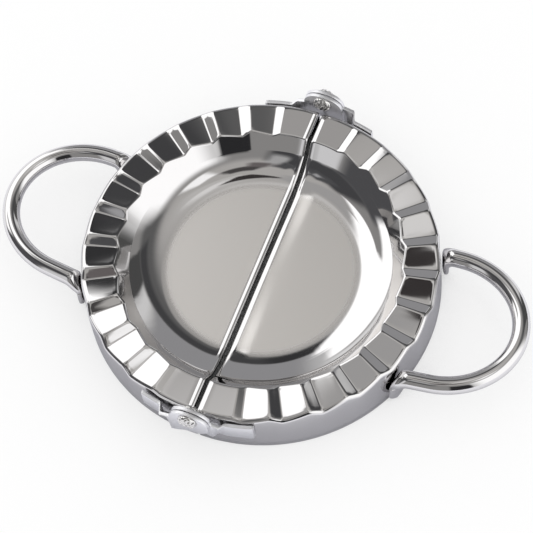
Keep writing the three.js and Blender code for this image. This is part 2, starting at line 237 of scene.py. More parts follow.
# The floor's own colour, which takes shade, seen straight and in the metal, where a painted copy
# of it is a little cooler. What it lacks to white glows where it is seen. Where the mould covers
# the sky within SHADE_REACH, painted shade makes the floor darker and its glow less. In the metal,
# the floor's glow fades as painted shade already where a little of the sky is covered.
FLOOR_HALF_WIDTH = 600
FLOOR_DROP = 0.2
FLOOR_COLOUR = (0.40, 0.40, 0.40)
FLOOR_GLOW = 0.60
# The floor as the metal mirrors it: a cooler painted copy, whose glow fades near the mould as
# painted shade
MIRRORED_FLOOR_COLOUR = (0.58, 0.58, 0.62)
MIRRORED_FLOOR_GLOW = 0.45
# Painted shade: the floor's colour where the mould covers the sky
SHADED_FLOOR_COLOUR = (0.10, 0.10, 0.10)
SHADE_REACH = 60
SHADE_SAMPLES = 8
# Open sky over which the painted shade under the mould fades out, and then that in the metal
COVERED_SKY = (0.08, 0.32)
OPEN_SKY = (0.70, 0.98)


def mix(low, high, share):
    return low + (high - low) * share


def smooth(share):
    return share * share * (3 - 2 * share)


def unit(vector):
    return vector / np.linalg.norm(vector)


# Mesh helpers
def mesh_piece(name, points, faces, material):
    """A new mesh object from points in millimetres."""
    data = bpy.data.meshes.new(name)
    data.from_pydata([tuple(x * MM for x in p) for p in points], [], faces)
    data.validate()
    data.update()
    for polygon in data.polygons:
        polygon.use_smooth = True
    piece = bpy.data.objects.new(name, data)
    bpy.context.scene.collection.objects.link(piece)
    data.materials.append(material)
    return piece


def closed_piece(name, points, faces, material):
    """A mesh object with its doubled points joined and all its faces turned outwards."""
    piece = mesh_piece(name, points, faces, material)
    work = bmesh.new()
    work.from_mesh(piece.data)
    bmesh.ops.remove_doubles(work, verts=work.verts, dist=MERGE_DISTANCE * MM)
    bmesh.ops.recalc_face_normals(work, faces=work.faces)
    work.to_mesh(piece.data)
    work.free()
    return piece


def sweep(rings):
    """Points and faces of a closed tube through rings of equal count."""
    count = len(rings[0])
    points = [p for ring in rings for p in ring]
    faces = []
    for row in range(len(rings) - 1):
        for place in range(count):
            following = (place + 1) % count
            a = row * count
            b = a + count
            faces.append((a + place, a + following, b + following, b + place))
    faces.append(tuple(reversed(range(count))))
    last = (len(rings) - 1) * count
    faces.append(tuple(range(last, last + count)))
    return points, faces


# The toothed wave
def wave_knots():
    """Angles and rises between which the rim runs nearly straight, and each corner's rounding."""
    knots = [(0.0, 0.0, 0.0), (HINGE_TILE, 0.0, VALLEY_ROUND)]
    angle = HINGE_TILE
    for tooth in range(TOOTH_COUNT):
        angle += STRIP if tooth else HINGE_STRIP
        knots.append((angle, TOOTH_RISE, CREST_ROUND))
        angle += TILE
        knots.append((angle, -TOOTH_RISE, VALLEY_ROUND))
    knots.append((angle + HINGE_STRIP, 0.0, VALLEY_ROUND))
    knots.append((math.pi, 0.0, 0.0))
    return knots


KNOTS = wave_knots()


def sharp_wave(angle):
    """Rise of the rim with sharp corners. Each tile is a little hollow along the rim."""
    angle = min(max(angle, 0.0), math.pi)
    for (start, low, _), (end, high, _) in zip(KNOTS, KNOTS[1:]):
        if angle <= end:
            share = (angle - start) / (end - start)
            hollow = 4 * TILE_SAG * share * (1 - share) if high < low else 0.0
            return mix(low, high, share) - hollow
    return 0.0


def wave_at(angle, scale=1.0):
    """Rise of the rim, with each corner rounded over a short run."""
    for knot, _, reach in KNOTS:
        reach *= scale
        if abs(angle - knot) < reach:
            before = knot - reach
            after = knot + reach
            share = (angle - before) / (after - before)
            corner = sharp_wave(knot)
            ends = (1 - share) ** 2 * sharp_wave(before) + share**2 * sharp_wave(after)
            return ends + 2 * share * (1 - share) * corner
    return sharp_wave(angle)


def column_angles():
    """Angles of the sheet's columns: close together round each corner of the wave."""
    angles = {0.0, round(math.pi, ANGLE_DIGITS)}
    for (start, _, start_round), (end, _, end_round) in zip(KNOTS, KNOTS[1:]):
        broad = end - start > 1.5 * STRIP
        steps = TILE_STEPS if broad else STRIP_STEPS
        for step in range(steps + 1):
            angle = mix(start + start_round, end - end_round, step / steps)
            angles.add(round(angle, ANGLE_DIGITS))
    for knot, _, reach in KNOTS[1:-1]:
        for step in range(-CORNER_STEPS + 1, CORNER_STEPS):
            angles.add(round(knot + reach * step / CORNER_STEPS, ANGLE_DIGITS))
    return sorted(angles)


# Section of the sheet
def rounded(before, corner, after, radius, steps):
    """Points of an arc that rounds a corner of the section."""
    inward = unit(before - corner)
    outward = unit(after - corner)
    angle = math.acos(float(np.clip(inward @ outward, -1, 1)))
    shorter_side = min(np.linalg.norm(before - corner), np.linalg.norm(after - corner))
    reach = min(radius / math.tan(angle / 2), ROUND_LIMIT * shorter_side)
    start = corner + inward * reach
    end = corner + outward * reach
    points = []
    for step in range(steps + 1):
        share = step / steps
        points.append((1 - share) ** 2 * start + 2 * share * (1 - share) * corner + share**2 * end)
    return points


def bowl_section():
    """Upper face of the bowl's floor and wall, as radius and height."""
    points = []
    for step in range(FLOOR_STEPS):
        points.append(np.array((FLOOR_RADIUS * step / FLOOR_STEPS, -BOWL_DEPTH)))
    for step in range(WALL_STEPS + 1):
        turn = WALL_SLOPE * step / WALL_STEPS
        points.append(np.array((
            FLOOR_RADIUS + WALL_RADIUS * math.sin(turn),
            WALL_RADIUS * (1 - math.cos(turn)) - BOWL_DEPTH,
        )))
    return points


def rim_radii(first, last):
    """Radii of points across the rim, close together along its two edges."""
    steps = range(BLEND_STEPS + 1)
    inner = [mix(first, first + EDGE_BLEND, step / BLEND_STEPS) for step in steps]
    outer = [mix(last - EDGE_BLEND, last, step / BLEND_STEPS) for step in steps]
    return inner[1:] + [mix(first, last, 0.5)] + outer[:-1]


def upper_section(rise, edge_rise):
    """Upper face of the sheet from the floor's middle to the cutting edge, as radius and height.
    edge_rise is the rise at the rim's two edges, where the teeth are rounder."""
    share = edge_rise / TOOTH_RISE
    outer = RIM_OUTER - TOOTH_OUTER_STEP * share
    inner = RIM_INNER + TOOTH_INNER_STEP * share
    edge_centre = outer - RIM_EDGE
    points = bowl_section()
    wall_way = np.array((math.cos(WALL_SLOPE), math.sin(WALL_SLOPE)))
    crease = np.array((CREASE_RADIUS, -CREASE_DEPTH)) + CREASE_ROUND * wall_way
    shoulder = np.array((inner, edge_rise))
    rim_end = np.array((edge_centre, edge_rise))
    points += rounded(points[-1], crease, shoulder, CREASE_ROUND, CREASE_STEPS)[1:]
    points += rounded(crease, shoulder, rim_end, SHOULDER_ROUND, SHOULDER_STEPS)
    first = points[-1][0]
    for radius in rim_radii(first, edge_centre):
        from_edge = min(radius - first, edge_centre - radius)
        height = mix(edge_rise, rise, smooth(min(from_edge / EDGE_BLEND, 1)))
        points.append(np.array((radius, height)))
    tilt = math.atan2(SKIRT_FOOT - outer, RIM_HEIGHT - RIM_EDGE)
    for step in range(RIM_EDGE_STEPS + 1):
        turn = (math.pi / 2 - tilt) * step / RIM_EDGE_STEPS
        points.append(np.array((
            edge_centre + RIM_EDGE * math.sin(turn),
            edge_rise - RIM_EDGE + RIM_EDGE * math.cos(turn),
        )))
    top = points[-1]
    foot = np.array((SKIRT_FOOT, -RIM_HEIGHT))
    for step in range(1, SKIRT_STEPS + 1):
        points.append(mix(top, foot, step / SKIRT_STEPS))
    return np.array(points)


def lower_section(section):
    """Lower face of the sheet, one thickness away along the section's normals."""
    steps = np.diff(section, axis=0)
    lengths = np.linalg.norm(steps, axis=1, keepdims=True)
    normals = np.stack([steps[:, 1], -steps[:, 0]], axis=1) / lengths
    before = np.vstack([normals[:1], normals])
    after = np.vstack([normals, normals[-1:]])
    spread = 1 + (before * after).sum(axis=1, keepdims=True)
    lower = section + SHEET * (before + after) / spread
    lower[0, 0] = 0.0
    lower[-1, 1] = -RIM_HEIGHT
    return lower


# Lips along the slit
def lip_shares(section):
    """How far each point of a section follows the lip: wholly, but less and less down the skirt,
    whose foot runs on to the slit."""
    shares = np.ones(len(section))
    on_skirt = (section[:, 0] > RIM_OUTER - RIM_EDGE) & (section[:, 1] < -SKIRT_TOP_DEPTH)
    shares[on_skirt] = (section[on_skirt, 1] + RIM_HEIGHT) / (RIM_HEIGHT - SKIRT_TOP_DEPTH)
    return np.clip(shares, 0, 1)


def lip_profile(parts):
    """Section of a lip, from the sheet to the cut edge: distance from the slit, height, slope."""
    along, height, slope = 0.0, 0.0, 0.0
    points = [(along, height, slope)]
    for length, end_slope, steps in parts:
        end_slope = math.radians(end_slope)
        for step in range(1, steps + 1):
            middle = mix(slope, end_slope, (step - 0.5) / steps)
            along += length / steps * math.cos(middle)
            height -= length / steps * math.sin(middle)
            points.append((along, height, mix(slope, end_slope, step / steps)))
        slope = end_slope
    return np.array([(along - a, h, s) for a, h, s in points])


def lip_points(section, shares, side, profile, row, thickness):
    """Points of a lip row. The last row is the cut edge."""
    distance, height, slope = profile[row]
    plain = profile[0][0] * (1 - row / (len(profile) - 1))
    return np.stack([
        -SLIT_HALF_WIDTH - mix(plain, distance + thickness * math.sin(slope), shares),
        side * section[:, 0],
        RIM_HEIGHT + section[:, 1] + (height + thickness * (1 - math.cos(slope))) * shares,
    ], axis=1)


# Stamped halves
def column_points(section, angle, reach):
    """One column of the sheet, drawn aside near the slit so that the lips have room."""
    aside = HALF_CENTRE + section[:, 0] * math.sin(angle)
    room = SLIT_HALF_WIDTH + reach - HALF_CENTRE
    drawn = 1 - smooth(np.clip((aside - HALF_CENTRE) / LIP_BLEND, 0, 1))
    return np.stack([
        -aside - room * drawn,
        -section[:, 0] * math.cos(angle),
        RIM_HEIGHT + section[:, 1],
    ], axis=1)


def dipped(points, reach, depth):
    """The floor of a half, bent down a little beside the slit."""
    aside = -points[:, 0] - SLIT_HALF_WIDTH - reach
    radius = np.hypot(points[:, 0], points[:, 1])
    share = smooth(np.clip(1 - aside / DIP_WIDTH, 0, 1))
    share = share * smooth(np.clip((FLOOR_RADIUS + DIP_MARGIN - radius) / DIP_FADE, 0, 1))
    along = np.clip(np.abs(points[:, 1]) / DIP_FULL_FROM, 0, 1)
    share = share * mix(DIP_MIDDLE_SHARE, 1, along**2)
    points[:, 2] -= depth * share
    return points


def half_sections(side_name):
    """Sections across a half in order: its front lip, its columns and its rear lip. Each is two
    rows of points, one on the upper face of the sheet and one on the lower."""
    profile = lip_profile(LIPS[side_name])
    reach = profile[0][0]
    lip_rows = range(1, len(profile))
    flat_upper = upper_section(0.0, 0.0)
    flat_lower = lower_section(flat_upper)
    shares = lip_shares(flat_upper)

    def lip(side, row):
        return (
            lip_points(flat_upper, shares, side, profile, row, 0.0),
            lip_points(flat_lower, shares, side, profile, row, SHEET),
        )

    sections = [lip(-1, row) for row in reversed(lip_rows)]
    for angle in column_angles():
        upper = upper_section(wave_at(angle), wave_at(angle, EDGE_ROUND_SCALE))
        sections.append((
            column_points(upper, angle, reach),
            column_points(lower_section(upper), angle, reach),
        ))
    sections += [lip(1, row) for row in lip_rows]
    depth = FLOOR_DIP[side_name]
    return [[dipped(face, reach, depth) for face in section] for section in sections]


def sheet_faces(section_count, count):
    """Faces of a sheet with count points in each row: its upper and lower face, its cutting edge
    and its two cut edges at the slit."""
    faces = []
    stride = 2 * count
    for index in range(section_count - 1):
        here = index * stride
        following = here + stride
        for place in range(count - 1):
            a = here + place
            b = following + place
            faces.append((a, a + 1, b + 1, b))
            faces.append((a + count, b + count, b + count + 1, a + count + 1))
        foot = (here + count - 1, here + stride - 1)
        next_foot = (following + stride - 1, following + count - 1)
        faces.append(foot + next_foot)
    last = (section_count - 1) * stride
    for place in range(count - 1):
        faces.append((place, place + count, place + count + 1, place + 1))
        a = last + place
        faces.append((a, a + 1, a + count + 1, a + count))
    return faces


def mould_half(name, side_name, material):
    """One stamped half, with its sheet drawn on both faces. The right one is turned round."""
    sections = half_sections(side_name)
    faces = sheet_faces(len(sections), len(sections[0][0]))
    points = [p for section in sections for row in section for p in row]
    if side_name == "right":
        points = [(-p[0], -p[1], p[2]) for p in points]
    return closed_piece(name, points, faces, material)


# Hinge leaves
def skirt_radius(depth):
    return SKIRT_TOP + SKIRT_FLARE * (depth - SKIRT_TOP_DEPTH)


def ear_corners(distance, along, top, bottom):
    near = distance - LEAF_THICKNESS / 2
    far = distance + LEAF_THICKNESS / 2
    return [
        (along, far, RIM_HEIGHT + top),
        (along, near, RIM_HEIGHT + top),
        (along, near, RIM_HEIGHT + bottom),
        (along, far, RIM_HEIGHT + bottom),
    ]


def foot_corners(along):
    corners = []
    for depth, lift in (
        (FOOT_TOP, LEAF_THICKNESS),
        (FOOT_TOP, 0.0),
        (FOOT_BOTTOM, 0.0),
        (FOOT_BOTTOM, LEAF_THICKNESS),
    ):
        radius = skirt_radius(depth) + SEAT_GAP + lift
        sideways = along - HALF_CENTRE
        corners.append((along, math.sqrt(radius**2 - sideways**2), RIM_HEIGHT - depth))
    return corners


def ear_rings(distance):
    """Rings of an ear. Past its middle its lower side runs down to the arm's."""
    rings = []
    for step in range(EAR_STEPS + 1):
        along = -EAR_HALF_WIDTH * math.cos(math.pi * step / EAR_STEPS)
        share = min(abs(along) / EAR_HALF_WIDTH, 1)
        rise = EAR_HALF_HEIGHT * max(1 - share**EAR_SQUARENESS, 0) ** (1 / EAR_SQUARENESS)
        carry = smooth(max(along, 0) / EAR_HALF_WIDTH)
        arm = mix(EAR_CENTRE_RISE - EAR_HALF_HEIGHT, -FOOT_BOTTOM, carry)
        bottom = arm if along > 0 else EAR_CENTRE_RISE - rise
        rings.append(ear_corners(distance, along, EAR_CENTRE_RISE + rise, bottom))
    return rings


def joggle_rings(ear_end, foot_start, joggle):
    """Rings between ear and foot. The upper two corners bend last, so that the bend slants."""
    rings = []
    for step in range(1, JOGGLE_STEPS):
        share = step / JOGGLE_STEPS
        ring = []
        for place, (a, b) in enumerate(zip(ear_end, foot_start)):
            bend_start = joggle - BEND_WIDTH if place < 2 else 0.0
            bent = smooth(min(max((share * joggle - bend_start) / BEND_WIDTH, 0), 1))
            ring.append((mix(a[0], b[0], share), mix(a[1], b[1], bent), mix(a[2], b[2], share)))
        rings.append(ring)
    return rings


def hinge_leaf(name, leaf, side_x, side_y, material):
    """A strip with its ear, outward joggle and curved foot. side_x and side_y place it."""
    foot_start = EAR_HALF_WIDTH + leaf.joggle
    foot_end = foot_start + leaf.foot
    rings = ear_rings(leaf.distance)
    rings += joggle_rings(rings[-1], foot_corners(foot_start), leaf.joggle)
    for step in range(FOOT_STEPS + 1):
        rings.append(foot_corners(mix(foot_start, foot_end, step / FOOT_STEPS)))
    points, faces = sweep(rings)
    points = [(side_x * p[0], side_y * p[1], p[2]) for p in points]
    piece = closed_piece(name, points, faces, material)
    bevel = piece.modifiers.new("rounded edges", "BEVEL")
    bevel.width = LEAF_BEVEL * MM
    bevel.segments = LEAF_BEVEL_SEGMENTS
    bevel.limit_method = "ANGLE"
    bevel.angle_limit = LEAF_BEVEL_ANGLE
    return piece


# Rivets
def head_place(turn):
    """Radius and height on a rivet head that is fuller than a plain dome."""
    power = 2 / HEAD_FULLNESS
    radius = max(HEAD_RADIUS * max(math.cos(turn), 0) ** power, HEAD_TIP)
    return radius, HEAD_HEIGHT * math.sin(turn) ** power


def rivet_profile(inner, outer):
    """Radius and place along a rivet, from the tip of one head to the tip of the other."""
    head = [head_place(math.pi / 2 * step / DOME_STEPS) for step in range(DOME_STEPS + 1)]
    inner_head = [(radius, inner - height) for radius, height in reversed(head)]
    outer_head = [(radius, outer + height) for radius, height in head]
    return inner_head + [(SHANK, inner), (SHANK, outer)] + outer_head


def ripple(wave, across, upwards):
    return math.sin(wave[0] * across + wave[1] * upwards + wave[2])


def hammering(across, upwards):
    """How deep the hammer marks are at a place on a head: 1 on average."""
    depth = 1.0
    for first, second, share in HAMMER_MARKS:
        depth -= share * ripple(first, across, upwards) * ripple(second, across, upwards)
    return depth


def outline(turn):
    """Share of its plain radius that a head has at a turn round its axis."""
    lobes = math.sin(OUTLINE_LOBES[0] * turn + OUTLINE_PHASE) * math.cos(OUTLINE_LOBES[1] * turn)
    return 1 - OUTLINE_DENT * (1 + lobes)


def rivet(name, side_y, material):
    """A peened rivet: uneven hammered domes on both ends of a plain shank."""
    inner = INNER_EAR - LEAF_THICKNESS / 2 - HEAD_GAP
    outer = OUTER_EAR + LEAF_THICKNESS / 2 + HEAD_GAP
    middle = (inner + outer) / 2
    rings = []
    for radius, along in rivet_profile(inner, outer):
        past_seat = max(abs(along - middle) - (outer - inner) / 2, 0)
        depth = HEAD_DENT * smooth(min(past_seat / DENT_FADE, 1))
        ring = []
        for side in range(RIVET_SIDES):
            turn = 2 * math.pi * side / RIVET_SIDES
            across = radius * math.cos(turn)
            upwards = radius * math.sin(turn)
            dent = depth * hammering(across, upwards)
            ring.append((
                across * outline(turn),
                side_y * (along - math.copysign(dent, along - middle)),
                RIM_HEIGHT + AXIS_RISE + upwards * outline(turn),
            ))
        rings.append(ring)
    points, faces = sweep(rings)
    return closed_piece(name, points, faces, material)


# Handles. Each is made on the right, and the left one is then turned round.
def pad_seat(depth):
    """Distance of the middle of a pad from the centre of its half."""
    return skirt_radius(depth) + SEAT_GAP + PAD_HALF_THICKNESS


def turned_about(point, centre, angle):
    """A point of the plan, turned about another."""
    x, y = point[0] - centre[0], point[1] - centre[1]
    c, s = math.cos(angle), math.sin(angle)
    return np.array((centre[0] + x * c - y * s, centre[1] + x * s + y * c))


def outwards(angle):
    """Level direction at an angle from +X."""
    return np.array((math.cos(angle), math.sin(angle), 0.0))


def station(side, place, heading, upright, flat, half_width):
    """A place along a handle. side is 1 for the rear leg and -1 for the front one. flat runs
    from 0 for the round rod to 1 for the pad."""
    return Station(place, side * np.cross(heading, upright), upright, flat, half_width)


def bend_stations(side, shift, turn):
    """Stations from the middle of a handle to the start of a leg, and the way it heads there."""
    stations = []
    centre = (HANDLE_REACH - BEND_LENGTH, 0.0)
    for step in range(BEND_STEPS + 1):
        angle = BEND_ANGLE * step / BEND_STEPS
        along = BEND_LENGTH * math.cos(angle)
        aside = side * BEND_HALF_WIDTH * math.sin(angle)
        way = (-BEND_LENGTH * math.sin(angle), side * BEND_HALF_WIDTH * math.cos(angle))
        x, y = turned_about((centre[0] + along, aside), centre, turn)
        place = np.array((x, y + shift, RIM_HEIGHT - ROD_DEPTH))
        heading = unit(np.array((*turned_about(way, (0.0, 0.0), turn), 0.0)))
        stations.append(station(side, place, heading, UP, 0.0, ROD))
    return stations, heading


def knee_stations(side, start, heading, seat_angle):
    """Stations of the bend down to the pad, in which the rod flattens."""
    stations = []
    for step in range(1, KNEE_STEPS + 1):
        bend = math.pi / 2 * step / KNEE_STEPS
        flat = smooth(step / KNEE_STEPS)
        inward = unit(mix(heading, -outwards(seat_angle), flat))
        place = start + heading * KNEE * math.sin(bend) + UP * KNEE * (math.cos(bend) - 1)
        upright = UP * math.cos(bend) + inward * math.sin(bend)
        downward = inward * math.cos(bend) - UP * math.sin(bend)
        half_width = mix(ROD, PAD_HALF_WIDTH, flat)
        stations.append(station(side, place, downward, upright, flat, half_width))
    return stations


def pad_stations(side, seat_angle):
    """Stations of a pad, which splays a little down the skirt and ends round."""
    stations = []
    length = (PAD_TIP_DEPTH - KNEE_DEPTH) / math.cos(PAD_SPLAY)
    for step in range(1, PAD_STEPS + 1):
        share = step / (PAD_STEPS + PAD_STEP_LEFT_OUT)
        along = length * math.sin(math.pi / 2 * share)
        depth = KNEE_DEPTH + along * math.cos(PAD_SPLAY)
        angle = seat_angle + side * along * math.sin(PAD_SPLAY) / pad_seat(KNEE_DEPTH)
        radial = outwards(angle)
        aside = np.array((-radial[1], radial[0], 0.0))
        place = radial * pad_seat(depth) + np.array((HALF_CENTRE, 0.0, RIM_HEIGHT - depth))
        heading = -UP * math.cos(PAD_SPLAY) + aside * side * math.sin(PAD_SPLAY)
        past_middle = max(0.0, (along - length) / PAD_HALF_WIDTH + 1)
        half_width = PAD_HALF_WIDTH * math.sqrt(1 - past_middle**2)
        stations.append(station(side, place, heading, -radial, 1.0, half_width))
    return stations


def handle_stations(side, shift, turn):
    """Stations from the middle of a handle to the tip of one pad."""
    stations, heading = bend_stations(side, shift, turn)
    leg_start = stations[-1].place
    from_centre = np.array((leg_start[0] - HALF_CENTRE, leg_start[1], 0.0))
    ahead = -from_centre @ heading
    off_way = from_centre @ from_centre - ahead**2
    run = ahead - math.sqrt(pad_seat(KNEE_DEPTH) ** 2 - off_way)
    for step in range(1, LEG_STEPS + 1):
        place = leg_start + heading * (run - KNEE) * step / LEG_STEPS
        stations.append(station(side, place, heading, UP, 0.0, ROD))
    meeting = from_centre + heading * run
    seat_angle = math.atan2(meeting[1], meeting[0])
    stations += knee_stations(side, stations[-1].place, heading, seat_angle)
    return stations + pad_stations(side, seat_angle)


def handle_ring(at, facing):
    """Ring of points round a handle at a station, turned round where facing is -1."""
    half_thickness = mix(ROD, PAD_HALF_THICKNESS, at.flat)
    power = 2 / mix(ROUND_SQUARENESS, PAD_SQUARENESS, at.flat)
    ring = []
    for side in range(HANDLE_SIDES):
        angle = 2 * math.pi * side / HANDLE_SIDES
        wide = math.copysign(abs(math.cos(angle)) ** power, math.cos(angle))
        tall = math.copysign(abs(math.sin(angle)) ** power, math.sin(angle))
        aside = at.across * at.half_width * wide
        x, y, z = at.place + aside + at.upright * half_thickness * tall
        ring.append((facing * x, facing * y, z))
    return ring


def handle(name, side_name, material):
    """A bent rod whose ends turn down and are flattened into pads against the skirt."""
    shift, turn = HANDLE_ASKEW[side_name]
    facing = 1 if side_name == "right" else -1
    front = [handle_ring(at, facing) for at in handle_stations(-1, shift, turn)]
    rear = [handle_ring(at, facing) for at in handle_stations(1, shift, turn)]
    points, faces = sweep(front[:0:-1] + rear)
    return closed_piece(name, points, faces, material)


# Nodes
def grey(level):
    return (level, level, level)


class Nodes:
    """Short calls for the nodes of a tree. Values are sockets or numbers."""

    def __init__(self, tree):
        self.tree = tree

    def new(self, kind):
        return self.tree.nodes.new(f"ShaderNode{kind}")

    def feed(self, socket, value):
        if isinstance(value, (int, float)):
            socket.default_value = value
        elif isinstance(value, tuple):
            socket.default_value = (*value, 1)
        else:
            self.tree.links.new(value, socket)

    def place(self, kind):
        """Coordinates of one kind."""
        return self.new("TexCoord").outputs[kind]

    def split(self, vector):
        node = self.new("SeparateXYZ")
        self.feed(node.inputs["Vector"], vector)
        return node.outputs

    def op(self, operation, *values):
        node = self.new("Math")
        node.operation = operation
        for socket, value in zip(node.inputs, values):
            self.feed(socket, value)
        return node.outputs[0]

    def length(self, x, y):
        """Length of a level vector."""
        flat = self.new("CombineXYZ")
        self.feed(flat.inputs["X"], x)
        self.feed(flat.inputs["Y"], y)
        node = self.new("VectorMath")
        node.operation = "LENGTH"
        self.feed(node.inputs[0], flat.outputs["Vector"])
        return node.outputs["Value"]

    def noise(self, scale, detail):
        node = self.new("TexNoise")
        self.feed(node.inputs["Vector"], self.place("Object"))
        self.feed(node.inputs["Scale"], scale)
        self.feed(node.inputs["Detail"], detail)
        return node.outputs["Fac"]

    def fade(self, value, low, high):
        """0 up to low and 1 from high on, or the other way round where high is the smaller."""
        node = self.new("MapRange")
        node.interpolation_type = "SMOOTHSTEP"
        turned = high < low
        self.feed(node.inputs["From Min"], high if turned else low)
        self.feed(node.inputs["From Max"], low if turned else high)
        self.feed(node.inputs["To Min"], 1.0 if turned else 0.0)
        self.feed(node.inputs["To Max"], 0.0 if turned else 1.0)
        self.feed(node.inputs["Value"], value)
        return node.outputs["Result"]

    def cover(self, share, under, over, kind="RGBA"):
        """One colour laid over another by a share from 0 to 1, or one number over another."""
        node = self.new("Mix")
        node.data_type = kind
        self.feed(node.inputs["Factor"], share)
        self.feed(node.inputs["A"], under)
        self.feed(node.inputs["B"], over)
        return node.outputs["Result"]


# Materials
def new_metal(name):
    """A metal, the sockets of its shader and its nodes."""
    material = bpy.data.materials.new(name)
    material.use_nodes = True
    sockets = material.node_tree.nodes["Principled BSDF"].inputs
    sockets["Metallic"].default_value = 1.0
    return material, sockets, Nodes(material.node_tree)


def smudged(nodes, colour, roughness):
    """Colour and roughness of steel with faint smudges in its gloss."""
    smudge = nodes.noise(SMUDGE_SCALE, SMUDGE_DETAIL)
    tint = nodes.cover(smudge, tuple(SMUDGE_DIM * c for c in colour), colour)
    low, high = (roughness * share for share in SMUDGE_GLOSS)
    return tint, nodes.cover(smudge, low, high, "FLOAT")


def plain_steel(name, colour, roughness):
    material, sockets, nodes = new_metal(name)
    tint, gloss = smudged(nodes, colour, roughness)
    nodes.feed(sockets["Base Color"], tint)
    nodes.feed(sockets["Roughness"], gloss)
    return material


def grained_steel(name, colour, roughness):
    """Steel with a fine grain that stands out a little."""
    material = plain_steel(name, colour, roughness)
    nodes = Nodes(material.node_tree)
    bump = nodes.new("Bump")
    nodes.feed(bump.inputs["Distance"], GRAIN_HEIGHT * MM)
    nodes.feed(bump.inputs["Height"], nodes.noise(GRAIN_SCALE, GRAIN_DETAIL))
    shader = material.node_tree.nodes["Principled BSDF"]
    nodes.feed(shader.inputs["Normal"], bump.outputs["Normal"])
    return material


def mould_steel():
    """Mirror steel with a satin floor: the gloss falls off inside the bowl's floor radius."""
    material, sockets, nodes = new_metal("polished steel")
    tint, gloss = smudged(nodes, MIRROR_STEEL, MIRROR_ROUGHNESS)
    x, y, _ = nodes.split(nodes.place("Object"))
    from_slit = nodes.op("ABSOLUTE", x)
    from_centre = nodes.op("SUBTRACT", from_slit, HALF_CENTRE * MM)
    radius = nodes.length(from_centre, y)
    on_floor = nodes.fade(radius, *(limit * MM for limit in SATIN_RADII))
    off_lips = nodes.fade(from_slit, *(limit * MM for limit in SATIN_FROM_SLIT))
    satin = nodes.op("MULTIPLY", on_floor, off_lips)
    nodes.feed(sockets["Base Color"], nodes.cover(satin, tint, SATIN_STEEL))
    nodes.feed(sockets["Roughness"], nodes.cover(satin, gloss, SATIN_ROUGHNESS, "FLOAT"))
    return material


# Studio: softboxes, flags and walls by direction, which only the metal mirrors. Each has its
# azimuths, its elevations, how soft its sides and its ends are, its colour, and how far its
# azimuth leans for each degree of elevation. Azimuth 0 is +Y and 90 is +X, all in degrees.
# A later one covers the earlier ones.
Panel = namedtuple("Panel", "left right low high side_edge end_edge colour lean", defaults=(0,))
WALLS = (0.30, 0.295, 0.29)
WHITE = grey(1.0)
PANELS = [
    # Ceiling, and the brighter and darker patches on it
    Panel(-180, 180, 64, 90, 1, 6, (0.50, 0.488, 0.472)),
    Panel(-30, 60, 73, 90, 12, 5, (0.60, 0.59, 0.575)),
    Panel(-10, 22, 75, 84, 6, 3, (0.84, 0.83, 0.82)),
    Panel(-50, -22, 61, 72, 5, 3, (0.64, 0.63, 0.62)),
    Panel(-105, -56, 65, 80, 8, 3, (0.42, 0.415, 0.41)),
    # Dark curtain behind, with its two darkest folds and a light patch over its left end
    Panel(-34, 62, 42, 62, 6, 5, grey(0.13)),
    Panel(-34, 44, 42.5, 53, 4, 3, (0.065, 0.065, 0.068)),
    Panel(-38, -27, 42.5, 56, 2, 3, (0.04, 0.04, 0.042)),
    Panel(-45, -14, 57.5, 66, 4, 1.5, (0.42, 0.41, 0.40)),
    # Wall behind, low down, from left to right: light, mid grey, bright and dark
    Panel(-46, -34, -10, 42, 4, 1.5, grey(0.60)),
    Panel(-36, 12, -10, 42, 6, 1.5, (0.33, 0.33, 0.34)),
    Panel(12, 24, 5, 41, 5, 3, grey(0.75)),
    Panel(24.5, 44, -10, 42.5, 1.5, 1.5, grey(0.08)),
    Panel(30, 62, -10, 8, 5, 3, (0.09, 0.09, 0.088)),
    # Dark wall in front and on the left, with two light openings high up and one low down
    Panel(-185, -108, 42, 66, 6, 3, (0.068, 0.068, 0.072)),
    Panel(-182, -166, 54, 72, 5, 4, grey(0.45)),
    Panel(-150, -122, 58, 70, 4, 2, (0.09, 0.09, 0.095)),
    Panel(-142, -132, 62.5, 67, 3, 2, (0.42, 0.42, 0.43)),
    Panel(-168, -147, 64, 75, 4, 2, (0.09, 0.09, 0.095)),
    Panel(-144, -98, -10, 44, 5, 3, (0.09, 0.09, 0.095)),
    Panel(-166, -148, -10, 43, 4, 4, (0.75, 0.75, 0.76)),
    # Left softbox with its leaning left wing and its two side parts, and a low strip of light
    Panel(-79.5, -42, 14, 64.5, 2, 2, grey(1.45)),
    Panel(-83, -60, 33, 62.5, 2, 2, grey(1.45), -1.5),
    Panel(-60, -37.5, 36, 61, 1.5, 2, grey(1.45)),
    Panel(-102, -60, 14, 36, 4, 3, grey(1.45)),
    Panel(-100, -42, -10, 11, 4, 3, grey(0.90)),
    # Right softbox with its light top, and the black flag beside it
    Panel(66, 134, -10, 57, 12, 6, grey(1.35)),
    Panel(80, 114, 65, 76, 6, 1.5, grey(1.2)),
    Panel(137, 158, -10, 50, 1.5, 4, (0.028, 0.028, 0.03)),
    # A dark flag overhead, its arm, and a second flag across from it
    Panel(116, 186, 76.5, 84.5, 8, 1.5, (0.075, 0.07, 0.07)),
    Panel(160, 190, 70, 78, 7, 2, (0.16, 0.145, 0.145)),
    Panel(-70, -8, 79.3, 87, 5, 0.8, (0.045, 0.04, 0.04)),
]
LOWEST = -10
ZENITH = 90
FULL_TURN = 360


